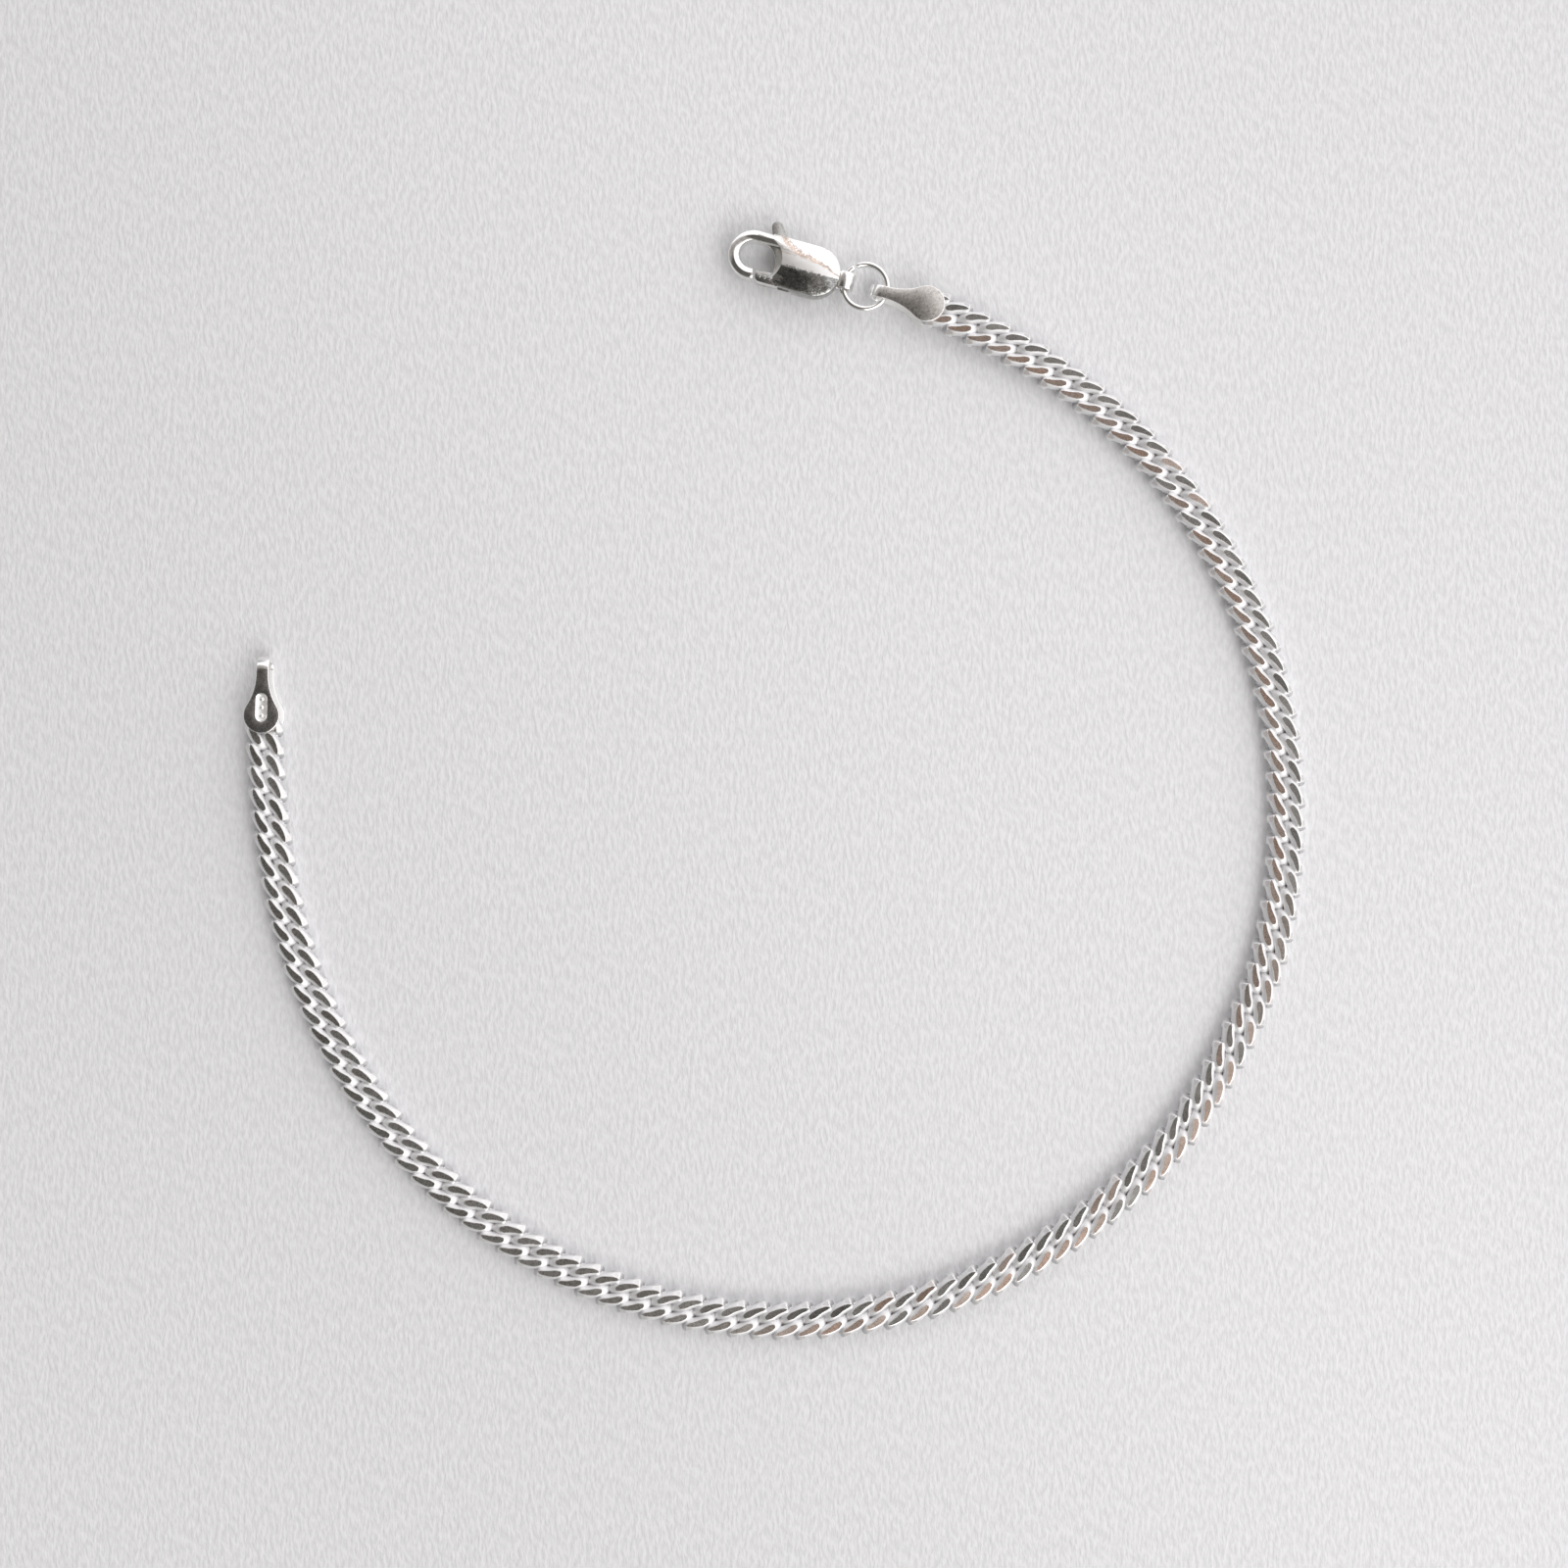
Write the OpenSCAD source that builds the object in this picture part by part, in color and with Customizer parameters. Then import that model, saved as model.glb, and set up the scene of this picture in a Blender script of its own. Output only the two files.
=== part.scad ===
// Link bracelet, unclasped and lying in an open C: a flat filed curb chain, a folded tag at
// each end, a split jump ring and a lobster clasp with a turning lever. Millimetres.
// +X right and +Y up as it lies, +Z up; the surface it rests on is z = 0.

/* [Chain] */
// Links in the whole chain, counting the one held in each tag
link_count = 107; // [102:1:112]
// Width over the links
chain_w = 3.0; // [2.8:0.05:3.2]
// Thickness between the filed flats
chain_t = 1.28; // [1.2:0.02:1.36]
// Width of the filed bevel along each edge, seen from above
bevel_w = 0.48; // [0.3:0.02:0.56]

/* [Tags] */
// Tip of the fold to the end of the round leaf
tag_len = 5.92; // [5.6:0.02:6.4]
// Widest part of the leaf
tag_w = 2.74; // [2.4:0.02:3.0]
// Width of the strip at the fold
neck_w = 0.92; // [0.8:0.02:1.2]
// Thickness of the strip
leaf_t = 0.28; // [0.22:0.02:0.34]
// Length of the oval recess in the free tag
recess_len = 2.2; // [1.6:0.1:2.4]
// Width of the oval recess
recess_w = 0.92; // [0.6:0.02:1.1]

/* [Jump ring] */
// Outside diameter of the ring
ring_od = 3.9; // [3.7:0.05:4.3]
// Thickness of its wire
ring_wire = 0.5; // [0.4:0.02:0.54]
// Opening left at the seam, in degrees of the ring
ring_seam = 7; // [3:1:14]

/* [Clasp] */
// Length from the hook's curve to the end of the bail
clasp_len = 9.92; // [9.7:0.02:10.5]
// Width over the hook and the body, which sets the whole plan
clasp_w = 3.76; // [3.5:0.02:4.1]
// Thickness at the middle of the body
clasp_t = 2.4; // [2.2:0.05:2.7]
// Height of the body's side edge
edge_t = 1.6; // [1.5:0.05:1.9]
// Height of the hook's rounded band
hook_t = 1.5; // [1.4:0.05:1.6]
// Thickness of the lever's plate
lever_t = 0.7; // [0.5:0.05:0.8]
// Thickness of the gate that closes the hook
gate_t = 1.24; // [0.8:0.02:1.4]
// Diameter of the rivet the lever turns on
rivet_d = 0.6; // [0.5:0.02:0.7]

/* [Hidden] */
$fn = 0;
$fa = 6;
$fs = 0.08;

// Control points of the smooth line through the links, from the free end to the clasp end
route = [[-39.3, 4.5], [-38.9, -3.2], [-37.6, -11.0], [-34.9, -18.2], [-31.0, -25.0], [-25.9, -30.8],
    [-19.5, -35.6], [-12.6, -38.9], [-4.9, -40.9], [2.8, -41.2], [10.6, -40.0], [17.9, -37.3],
    [24.4, -33.1], [30.4, -27.8], [34.4, -21.3], [37.8, -14.2], [39.1, -6.4], [39.2, 1.3],
    [37.9, 9.1], [35.1, 16.2], [31.0, 23.0], [25.8, 28.7], [19.3, 33.2], [12.3, 36.5]];
// Moves the route so that the middle of the whole bracelet is at the origin
route_shift = [0.11, -0.31];
route_steps = 12;
route_last = len(route) - 1;

function knot(i) = i < 0 ? 2 * route[0] - route[1]
    : i > route_last ? 2 * route[route_last] - route[route_last - 1] : route[i];
function bend(i, t) = route_shift + (pow(1 - t, 3) * knot(i - 1)
    + (3 * pow(t, 3) - 6 * t * t + 4) * knot(i)
    + (-3 * pow(t, 3) + 3 * t * t + 3 * t + 1) * knot(i + 1) + pow(t, 3) * knot(i + 2)) / 6;
line = [for (i = [0 : route_last - 1], k = [0 : route_steps - 1]) bend(i, k / route_steps),
    bend(route_last - 1, 1)];
run = [for (i = 0, d = 0; i < len(line);
    d = d + (i + 1 < len(line) ? norm(line[i + 1] - line[i]) : 0), i = i + 1) d];
line_x = [for (i = [0 : len(line) - 1]) [run[i], line[i][0]]];
line_y = [for (i = [0 : len(line) - 1]) [run[i], line[i][1]]];
chain_len = run[len(run) - 1];
function spot(s) = [lookup(s, line_x), lookup(s, line_y)];
function toward(a) = [cos(a), sin(a)];
function heading(s) = let (d = spot(s + 0.3) - spot(s - 0.3)) atan2(d[1], d[0]);

// Link: a twisted oval of round wire, filed flat on both faces, bevelled along both edges, and
// leaned so that its upper strands slant one way and its lower strands the other
pitch = chain_len / (link_count - 1);
wire_r = 0.243 * pitch;
link_reach = 0.818 * pitch;
link_side = chain_w / 2 - 0.28;
link_wave = wire_r + 0.09;
link_lean = 0.5;
bevel_sum = chain_w / 2 + chain_t / 2 - bevel_w;
path_sides = 12;
wire_sides = 6;
half_step = 180 / path_sides;

function flatter(u) = 1.5 * u - 0.5 * pow(u, 3);
function core(a) = [link_reach * cos(a), link_side * sin(a), -link_wave * flatter(sin(2 * a))];
function unit(v) = v / norm(v);
function along(a) = unit([-link_reach * sin(a), link_side * cos(a),
    -3 * link_wave * (1 - pow(sin(2 * a), 2)) * cos(2 * a)]);
function clip(x, top) = max(-top, min(top, x));
function flat(p) = [p[0], p[1], clip(p[2], chain_t / 2)];
function bevelled(p) = let (over = max(0, abs(p[1]) + abs(p[2]) - bevel_sum) / 2)
    [p[0], clip(p[1] - sign(p[1]) * over, chain_w / 2), p[2] - sign(p[2]) * over];
function leaned(p) = [p[0] + link_lean * p[1] * p[2] / link_wave, p[1], p[2]];
link_points = [for (i = [0 : path_sides - 1])
    let (a = half_step + 360 * i / path_sides, t = along(a), up = unit([0, 0, 1] - t[2] * t),
        side = cross(t, up))
    for (j = [0 : wire_sides - 1]) let (w = 90 + 360 * j / wire_sides)
        leaned(bevelled(flat(core(a) + wire_r * (cos(w) * side + sin(w) * up))))];
function corner(i, j) = (i % path_sides) * wire_sides + j % wire_sides;
link_faces = [for (i = [0 : path_sides - 1], j = [0 : wire_sides - 1], half = [0, 1])
    half == 0 ? [corner(i, j), corner(i, j + 1), corner(i + 1, j + 1)]
        : [corner(i, j), corner(i + 1, j + 1), corner(i + 1, j)]];

// Tag: one strip folded over the end link, with a post through that link
eye_gap = 0.1;
eye_r = chain_t / 2 + eye_gap;
fold_r = eye_r + leaf_t;
tag_h = 2 * fold_r;
round_x = tag_len - tag_w / 2;
neck_x = fold_r + 0.2;
neck_d = norm([round_x - neck_x, neck_w / 2]);
taper = asin(tag_w / 2 / neck_d) - atan2(neck_w / 2, round_x - neck_x);
taper_run = sqrt(pow(neck_d, 2) - pow(tag_w / 2, 2));
post_r = 0.25;
post_back = 0.47;
post_x = tag_len - 0.91;
recess_deep = 0.1;
recess_x = post_x - 1.06;
pip_r = 0.17;
pip_step = 0.62;
free_aim = 88.5;
clasp_aim = 165;

// Height of the chain's middle: at rest on the surface, lifted to the tags at both ends
ramp_from = 2 * pitch;
ramp_len = 9;
flat_reach = 1.0;
function ease(u) = let (v = max(0, min(1, u))) v * v * (3 - 2 * v);
function lift(s) = let (out = min(s, chain_len - s) - ramp_from)
    (tag_h - chain_t) / 2 * (1 - ease(out / ramp_len));
function slope(s) = atan2(lift(s + 0.3) - lift(s - 0.3), 0.6);
function height(s) = chain_t / 2 + lift(s) + flat_reach * sin(abs(slope(s)));

free_post = spot(0) - post_back * toward(heading(0));
clasp_post = spot(chain_len) + post_back * toward(heading(chain_len));

// Jump ring: threaded through the eye of the clasp-end tag and the bail
ring_r = (ring_od - ring_wire) / 2;
ring_aim = 157;
bail_aim = 166;
clasp_turn = -15.5;
seam_aim = 116;
eye_slack = 0.29;
bail_slack = 0.05;
eye_at = clasp_post + (post_x - fold_r) * toward(clasp_aim);
ring_at = eye_at + (ring_r - eye_slack) * toward(ring_aim);
ring_z = clasp_t / 2 - 0.03;

// Clasp plan, from the middle of the hook's curve; +x runs to the bail
k = clasp_w / 3.76;
half_w = clasp_w / 2;
hook_band = 0.84 * k;
hook_slope = 14;
hook_round = 0.16;
hook_mid = half_w - hook_band / 2;
hook_sweep = 194;
arm_len = 2.0 * k;
body_x = 1.18 * k;
mouth = [0.5, -0.2] * k;
mouth_r = 1.83 * k;
bail_r = 0.8;
bail_x = clasp_len - half_w - bail_r;
bail_out = 0.41;
nose_x = bail_x - bail_out - half_w;
bail_bore_r = ring_wire / 2 + 0.22;
bail_w = 1.24;
pivot = [2.75, -1.0] * k;
rivet_r = rivet_d / 2;
rivet_gap = 0.05;
hub_r = 0.62 * k;
slot_t = lever_t + 0.1;
dome_rise = (clasp_t - edge_t) / 2;
dome_r = (pow(half_w, 2) + pow(dome_rise, 2)) / (2 * dome_rise);
bite = 0.2;
tab_at = [1.275, 2.53] * k;
tab_r = 0.45 * k;
gate_pip_at = [1.3, -1.48] * k;
gate_pip_step = 0.4 * k;
gate_pip_r = 0.12;
gate_pip_up = 0.05;
bail_at = ring_at + (ring_r - bail_slack) * toward(bail_aim);
hook_at = bail_at - bail_x * toward(clasp_turn);

// Hook band: two faces that slope away from a ridge on top and underneath, with rounded sides
round_at = hook_band / 2 - hook_round;
round_up = hook_t / 2 - round_at * tan(hook_slope) - hook_round / cos(hook_slope);
function signed(points, sx, sy) = [for (p = points) [p[0] * sx, p[1] * sy]];
function backward(points) = [for (i = [len(points) - 1 : -1 : 0]) points[i]];
band_side = [for (i = [0 : 3]) let (a = (90 - hook_slope) * i / 3)
    [round_at + hook_round * cos(a), round_up + hook_round * sin(a)]];
band_section = concat(band_side, [[0, hook_t / 2]], backward(signed(band_side, -1, 1)),
    signed(band_side, -1, -1), [[0, -hook_t / 2]], backward(signed(band_side, 1, -1)));

// Mouth, slot and lever outlines in the clasp's plan
chin_cut = [[1.0, -1.3], [1.95, -1.34], [2.55, -1.95], [2.55, -2.4], [1.0, -2.4]] * k;
slot_plan = [[0.95, 2.6], [0.95, -2.6], [3.0, -2.6], [3.4, -1.75], [3.5, -1.0], [3.58, -0.5],
    [3.88, 0.8], [4.18, 1.9], [4.18, 2.6]] * k;
plate_plan = [[0.86, 2.36], [1.02, 2.0], [1.02, 1.0], [1.35, 0.78], [1.63, 0.42], [1.8, -0.05],
    [1.86, -0.5], [1.84, -0.9], [1.72, -1.03], [1.72, -1.9], [2.3, -1.9], [2.75, -1.62],
    [3.2, -0.58], [2.84, 0.5], [2.43, 1.88], [2.02, 2.27], [1.64, 2.79]] * k;
gate_plan = [[0.58, -1.14], [0.55, -1.45], [0.62, -1.7], [0.82, -1.87], [1.05, -1.9],
    [2.27, -1.9], [1.74, -1.33], [1.74, -1.0]] * k;

// Which piece to show

// One link's points, set on the route
function set_link(n) = let (s = n * pitch, p = spot(s), h = heading(s), f = slope(s), z = height(s))
    [for (v = link_points) let (x = v[0] * cos(f) - v[2] * sin(f))
        [p[0] + x * cos(h) - v[1] * sin(h), p[1] + x * sin(h) + v[1] * cos(h),
            z + v[0] * sin(f) + v[2] * cos(f)]];

module links(first, last) {
    polyhedron([for (n = [first : last]) each set_link(n)],
        [for (n = [first : last], f = link_faces) f + [1, 1, 1] * (n - first) * len(link_points)]);
}

module chain_first_half() {
    color("silver") links(0, floor(link_count / 2) - 1);
}

module chain_second_half() {
    color("gainsboro") links(floor(link_count / 2), link_count - 1);
}

module fold_profile(r, low) {
    translate([fold_r, fold_r]) circle(r);
    translate([fold_r, low]) square([tag_len, tag_h - 2 * low]);
}

module tag_plan() {
    polygon([[-1, neck_w / 2], [neck_x, neck_w / 2],
        [neck_x + taper_run * cos(taper), neck_w / 2 + taper_run * sin(taper)], [round_x, 0],
        [neck_x + taper_run * cos(taper), -neck_w / 2 - taper_run * sin(taper)],
        [neck_x, -neck_w / 2], [-1, -neck_w / 2]]);
    translate([round_x, 0]) circle(tag_w / 2);
}

module recess() {
    straight = recess_len - recess_w;
    translate([recess_x - straight / 2, -recess_w / 2, 0]) cube([straight, recess_w, tag_h]);
    for (side = [-1, 1])
        translate([recess_x + side * straight / 2, 0, 0]) cylinder(h = tag_h, r = recess_w / 2);
}

module tag(post, aim, stamped) {
    translate([post[0], post[1], 0]) rotate(aim + 180) translate([-post_x, 0, 0]) {
        difference() {
            intersection() {
                rotate([90, 0, 0]) linear_extrude(2 * tag_w, center = true) difference() {
                    fold_profile(fold_r, 0);
                    fold_profile(eye_r, leaf_t);
                }
                linear_extrude(tag_h) tag_plan();
            }
            if (stamped) translate([0, 0, tag_h - recess_deep]) recess();
        }
        translate([post_x, 0, leaf_t / 2]) cylinder(h = tag_h - leaf_t, r = post_r);
        if (stamped) for (n = [-1 : 1])
            translate([recess_x + n * pip_step, 0, tag_h - leaf_t / 2])
                cylinder(h = leaf_t / 2 - recess_deep / 4, r = pip_r);
    }
}

module free_end_tag() {
    color("lightgray") tag(free_post, free_aim, true);
}

module clasp_end_tag() {
    color("lightgray") tag(clasp_post, clasp_aim, false);
}

module jump_ring() {
    color("whitesmoke") translate([ring_at[0], ring_at[1], ring_z]) rotate(seam_aim + ring_seam / 2)
        rotate_extrude(angle = 360 - ring_seam) translate([ring_r, 0]) circle(ring_wire / 2);
}

module in_clasp() {
    translate([hook_at[0], hook_at[1], clasp_t / 2]) rotate(clasp_turn) children();
}

module body_plan() {
    difference() {
        union() {
            translate([body_x, -half_w]) square([nose_x - body_x, clasp_w]);
            translate([nose_x, 0]) circle(half_w);
        }
        translate(mouth) circle(mouth_r);
        polygon(chin_cut);
    }
}

module dome() {
    intersection_for (side = [-1, 1])
        translate([0, 0, side * (clasp_t / 2 - dome_r)]) rotate([0, 90, 0])
            cylinder(h = 2 * bail_x, r = dome_r);
}

module clasp_body() {
    color("silver") in_clasp() {
        difference() {
            union() {
                rotate(90) rotate_extrude(angle = hook_sweep) translate([hook_mid, 0])
                    polygon(band_section);
                translate([0, hook_mid, 0]) rotate([90, 0, 90]) linear_extrude(arm_len)
                    polygon(band_section);
                intersection() {
                    linear_extrude(clasp_t, center = true) body_plan();
                    dome();
                }
                translate([bail_x, 0, 0]) rotate([90, 0, 0])
                    cylinder(h = bail_w, r = bail_r, center = true);
            }
            linear_extrude(slot_t, center = true) polygon(slot_plan);
            translate([bail_x, 0, 0]) rotate([90, 0, 0])
                cylinder(h = 2 * bail_w, r = bail_bore_r, center = true);
        }
        translate(pivot) cylinder(h = slot_t + 2 * bite, r = rivet_r, center = true);
    }
}

module clasp_lever() {
    color("darkgray") in_clasp() difference() {
        union() {
            linear_extrude(lever_t, center = true) {
                polygon(plate_plan);
                translate(pivot) circle(hub_r);
                translate(tab_at) circle(tab_r);
            }
            linear_extrude(gate_t, center = true) polygon(gate_plan);
            for (n = [-1 : 1]) translate(gate_pip_at + [n * gate_pip_step, 0])
                cylinder(h = gate_t / 2 + gate_pip_up, r = gate_pip_r);
        }
        translate(pivot) cylinder(h = clasp_t, r = rivet_r + rivet_gap, center = true);
    }
}

chain_first_half();
chain_second_half();
free_end_tag();
clasp_end_tag();
jump_ring();
clasp_body();
clasp_lever();
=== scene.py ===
"""Looks of a flat filed curb bracelet lying open on pale paper, with a folded tag at each end, a
split ring and a lobster clasp. Sizes are in millimetres, and finished meshes are in metres."""
import logging
import math
from collections.abc import Sequence
from dataclasses import dataclass, field
from enum import Enum
from functools import cached_property

import bmesh
import bpy
from mathutils import Matrix, Vector
from mathutils.geometry import interpolate_bezier


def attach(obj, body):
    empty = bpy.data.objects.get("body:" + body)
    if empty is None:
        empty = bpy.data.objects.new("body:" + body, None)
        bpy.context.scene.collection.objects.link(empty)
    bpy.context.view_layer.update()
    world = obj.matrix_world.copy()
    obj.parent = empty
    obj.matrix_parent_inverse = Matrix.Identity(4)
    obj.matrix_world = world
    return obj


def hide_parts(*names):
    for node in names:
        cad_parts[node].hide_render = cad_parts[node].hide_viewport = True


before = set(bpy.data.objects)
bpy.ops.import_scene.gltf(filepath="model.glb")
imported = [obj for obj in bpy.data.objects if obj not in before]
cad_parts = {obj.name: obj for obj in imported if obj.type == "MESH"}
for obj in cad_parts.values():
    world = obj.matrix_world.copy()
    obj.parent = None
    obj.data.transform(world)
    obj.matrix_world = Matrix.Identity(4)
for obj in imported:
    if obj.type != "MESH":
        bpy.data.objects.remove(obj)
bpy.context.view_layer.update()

log = logging.getLogger("bracelet")
METRE = 0.001
Colour = tuple[float, float, float]
Span = tuple[float, float]
Object = bpy.types.Object
Material = bpy.types.Material
Tree = bpy.types.NodeTree
Node = bpy.types.Node
Socket = bpy.types.NodeSocket
BMesh = bmesh.types.BMesh
Corner = bmesh.types.BMVert
Face = bmesh.types.BMFace


class Mark(Enum):
    """Mesh attributes that tell the finishes which part of a piece they are on, and so which
    painted reflection or painted highlight it takes.
    """

    FLAT = "filed_flat"
    RIM = "bright_rim"
    FROST = "frosted"
    ROW = "inner_row"
    SHADE = "link_shade"
    WARMTH = "link_warmth"
    TURNED = "link_turned"
    BAND = "cast_band"


class Slot(Enum):
    """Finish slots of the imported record."""

    LINKS = "filed_links"
    TAG = "tag_strip"
    RING = "ring_wire"
    CLASP = "clasp_metal"
    LEVER = "lever_metal"


class TagFace(Enum):
    """What the upper leaf of a tag carries."""

    PLAIN = "plain"
    STAMPED = "stamped"


def rgba(colour: Colour) -> tuple[float, float, float, float]:
    """Adds full opacity to a linear colour."""
    return (*colour, 1.0)


class Graph:
    """Adds nodes to one node tree and joins their sockets by name."""

    def __init__(self, tree: Tree) -> None:
        """Keeps the shader, world or geometry tree to build in."""
        self.tree = tree

    @staticmethod
    def socket(sockets: Sequence[Socket], name: str) -> Socket:
        """Finds the first socket of a name that is in use."""
        return next(s for s in sockets if s.name == name and s.enabled)

    def out(self, made: Node, name: str) -> Socket:
        """Gives the output of a node that has a name and is in use."""
        return self.socket(made.outputs, name)

    def feed(self, node: Node, inputs: dict[str | int, object]) -> None:
        """Sets or joins inputs of a node.

        Args:
            node: the node.
            inputs: values, or output sockets to join, by input name or number.
        """
        for key, value in inputs.items():
            into = node.inputs[key] if isinstance(key, int) else self.socket(node.inputs, key)
            if isinstance(value, Socket):
                self.tree.links.new(value, into)
            else:
                into.default_value = value

    def add(self, kind: str, inputs: dict | None = None, **settings: object) -> Node:
        """Adds a node.

        Args:
            kind: the node's type name.
            inputs: what feed takes.
            settings: properties of the node, set before its sockets are used.

        Returns:
            The new node.
        """
        made = self.tree.nodes.new(kind)
        for name, value in settings.items():
            setattr(made, name, value)
        self.feed(made, inputs or {})
        return made

    def math(self, operation: str, *values: object) -> Socket:
        """Adds a Math node over one to three values and gives its result."""
        return self.add("ShaderNodeMath", dict(enumerate(values)), operation=operation).outputs[0]

    def plus(self, first: object, second: object) -> Socket:
        """Adds two numbers."""
        return self.math("ADD", first, second)

    def minus(self, first: object, second: object) -> Socket:
        """Takes the second number from the first."""
        return self.math("SUBTRACT", first, second)

    def times(self, first: object, second: object) -> Socket:
        """Multiplies two numbers."""
        return self.math("MULTIPLY", first, second)

    def inverse(self, value: Socket) -> Socket:
        """Gives 1 less a value."""
        return self.minus(1.0, value)

    def mix_colour(self, share: object, first: object, second: object,
                   blend: str = "MIX") -> Socket:
        """Mixes two colours by a share from 0 to 1 and gives the result."""
        inputs = {0: share, 6: first, 7: second}
        return self.add("ShaderNodeMix", inputs, data_type="RGBA", blend_type=blend).outputs[2]

    def mix_value(self, share: object, first: object, second: object) -> Socket:
        """Mixes two numbers by a share from 0 to 1 and gives the result."""
        inputs = {0: share, 2: first, 3: second}
        return self.add("ShaderNodeMix", inputs, data_type="FLOAT").outputs[0]

    def shaded(self, tone: object, level: Socket) -> Socket:
        """Multiplies a colour by a level and gives the result."""
        grey = self.add("ShaderNodeCombineColor", {0: level, 1: level, 2: level}).outputs[0]
        return self.mix_colour(1.0, tone, grey, "MULTIPLY")

    def ramp(self, value: object, span: tuple[object, object], to: Span = (0.0, 1.0)) -> Socket:
        """Maps a value smoothly from one range to another, held at both ends."""
        inputs = dict(enumerate((value, *span, *to)))
        return self.add("ShaderNodeMapRange", inputs, interpolation_type="SMOOTHSTEP").outputs[0]

    def noise(self, place: Socket, scale: object, detail: float, rough: float = 0.5) -> Socket:
        """Adds a noise texture and gives its value."""
        inputs = {"Vector": place, "Scale": scale, "Detail": detail, "Roughness": rough}
        return self.add("ShaderNodeTexNoise", inputs).outputs[0]

    def bump(self, depth: float, height: Socket, **inputs: object) -> Socket:
        """Adds a bump of a depth in millimetres, with its other inputs, and gives its normal."""
        inputs = {"Distance": depth * METRE, "Height": height, **inputs}
        return self.add("ShaderNodeBump", inputs).outputs[0]

    def place(self) -> Socket:
        """Gives the place on the piece, in metres."""
        return self.add("ShaderNodeTexCoord").outputs["Object"]


def new_group(name: str, inputs: dict[str, float], outputs: Sequence[str]) -> Graph:
    """Starts a shader node group that takes and gives numbers.

    Args:
        name: name of the group.
        inputs: default of each input, by name.
        outputs: names of the outputs.

    Returns:
        The graph of the group.
    """
    tree = bpy.data.node_groups.new(name, "ShaderNodeTree")
    for title, value in inputs.items():
        made = tree.interface.new_socket(title, in_out="INPUT", socket_type="NodeSocketFloat")
        made.default_value = value
    for title in outputs:
        tree.interface.new_socket(title, in_out="OUTPUT", socket_type="NodeSocketFloat")
    return Graph(tree)


def new_material(name: str) -> tuple[Material, Node]:
    """Starts a material.

    Args:
        name: name of the material.

    Returns:
        The material and its shader.
    """
    made = bpy.data.materials.new(name)
    made.use_nodes = True
    return made, made.node_tree.nodes["Principled BSDF"]


@dataclass
class SharedEffects:
    """Shader groups that more than one finish uses, each built once."""

    fine_detail: float = 3.0
    fine_rough: float = 0.65
    coarse_density: float = 0.31
    coarse_share: float = 0.3
    soft_half: float = 0.35
    crisp_half: float = 0.06
    spark_span: Span = (0.62, 0.7)
    slow_rough: float = 0.4
    patch_span: Span = (0.38, 0.62)

    @cached_property
    def grain(self) -> Tree:
        """Fine grain of filed and tumbled silver, whose sparks the finishes paint as glints.

        Returns:
            A group with the outputs Speckle and Spark, from 0 to 1, and Height.
        """
        graph = new_group("Fine grain", {"Size": 0.1, "Contrast": 0.5},
                          ("Speckle", "Spark", "Height"))
        given, place = graph.add("NodeGroupInput").outputs, graph.place()
        density = graph.math("DIVIDE", 1.0 / METRE, given["Size"])
        fine = graph.noise(place, density, self.fine_detail, self.fine_rough)
        coarse = graph.noise(place, graph.times(density, self.coarse_density), 1.0)
        both = graph.mix_value(self.coarse_share, fine, coarse)
        half = graph.mix_value(given["Contrast"], self.soft_half, self.crisp_half)
        ends = {0: both, 1: graph.minus(0.5, half), 2: graph.plus(0.5, half)}
        speckle = graph.add("ShaderNodeMapRange", ends).outputs[0]
        graph.add("NodeGroupOutput", {"Speckle": speckle, "Height": fine,
                                      "Spark": graph.ramp(fine, self.spark_span)})
        return graph.tree

    @cached_property
    def marks(self) -> Tree:
        """Reading of the masks that the pieces carry.

        Returns:
            A group with one output for each mark.
        """
        titles = {mark.name.title(): mark for mark in Mark}
        graph = new_group("Piece marks", {}, tuple(titles))
        graph.add("NodeGroupOutput", {
            title: graph.add("ShaderNodeAttribute", attribute_name=mark.value).outputs["Fac"]
            for title, mark in titles.items()})
        return graph.tree

    @cached_property
    def waviness(self) -> Tree:
        """Slow unevenness of hand-finished metal.

        Returns:
            A group with the outputs Patch, from 0 to 1, and Height.
        """
        graph = new_group("Slow unevenness", {"Size": 1.0}, ("Patch", "Height"))
        size = graph.add("NodeGroupInput").outputs["Size"]
        slow = graph.noise(graph.place(), graph.math("DIVIDE", 1.0 / METRE, size), 1.0,
                           self.slow_rough)
        graph.add("NodeGroupOutput", {"Patch": graph.ramp(slow, self.patch_span), "Height": slow})
        return graph.tree


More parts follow.
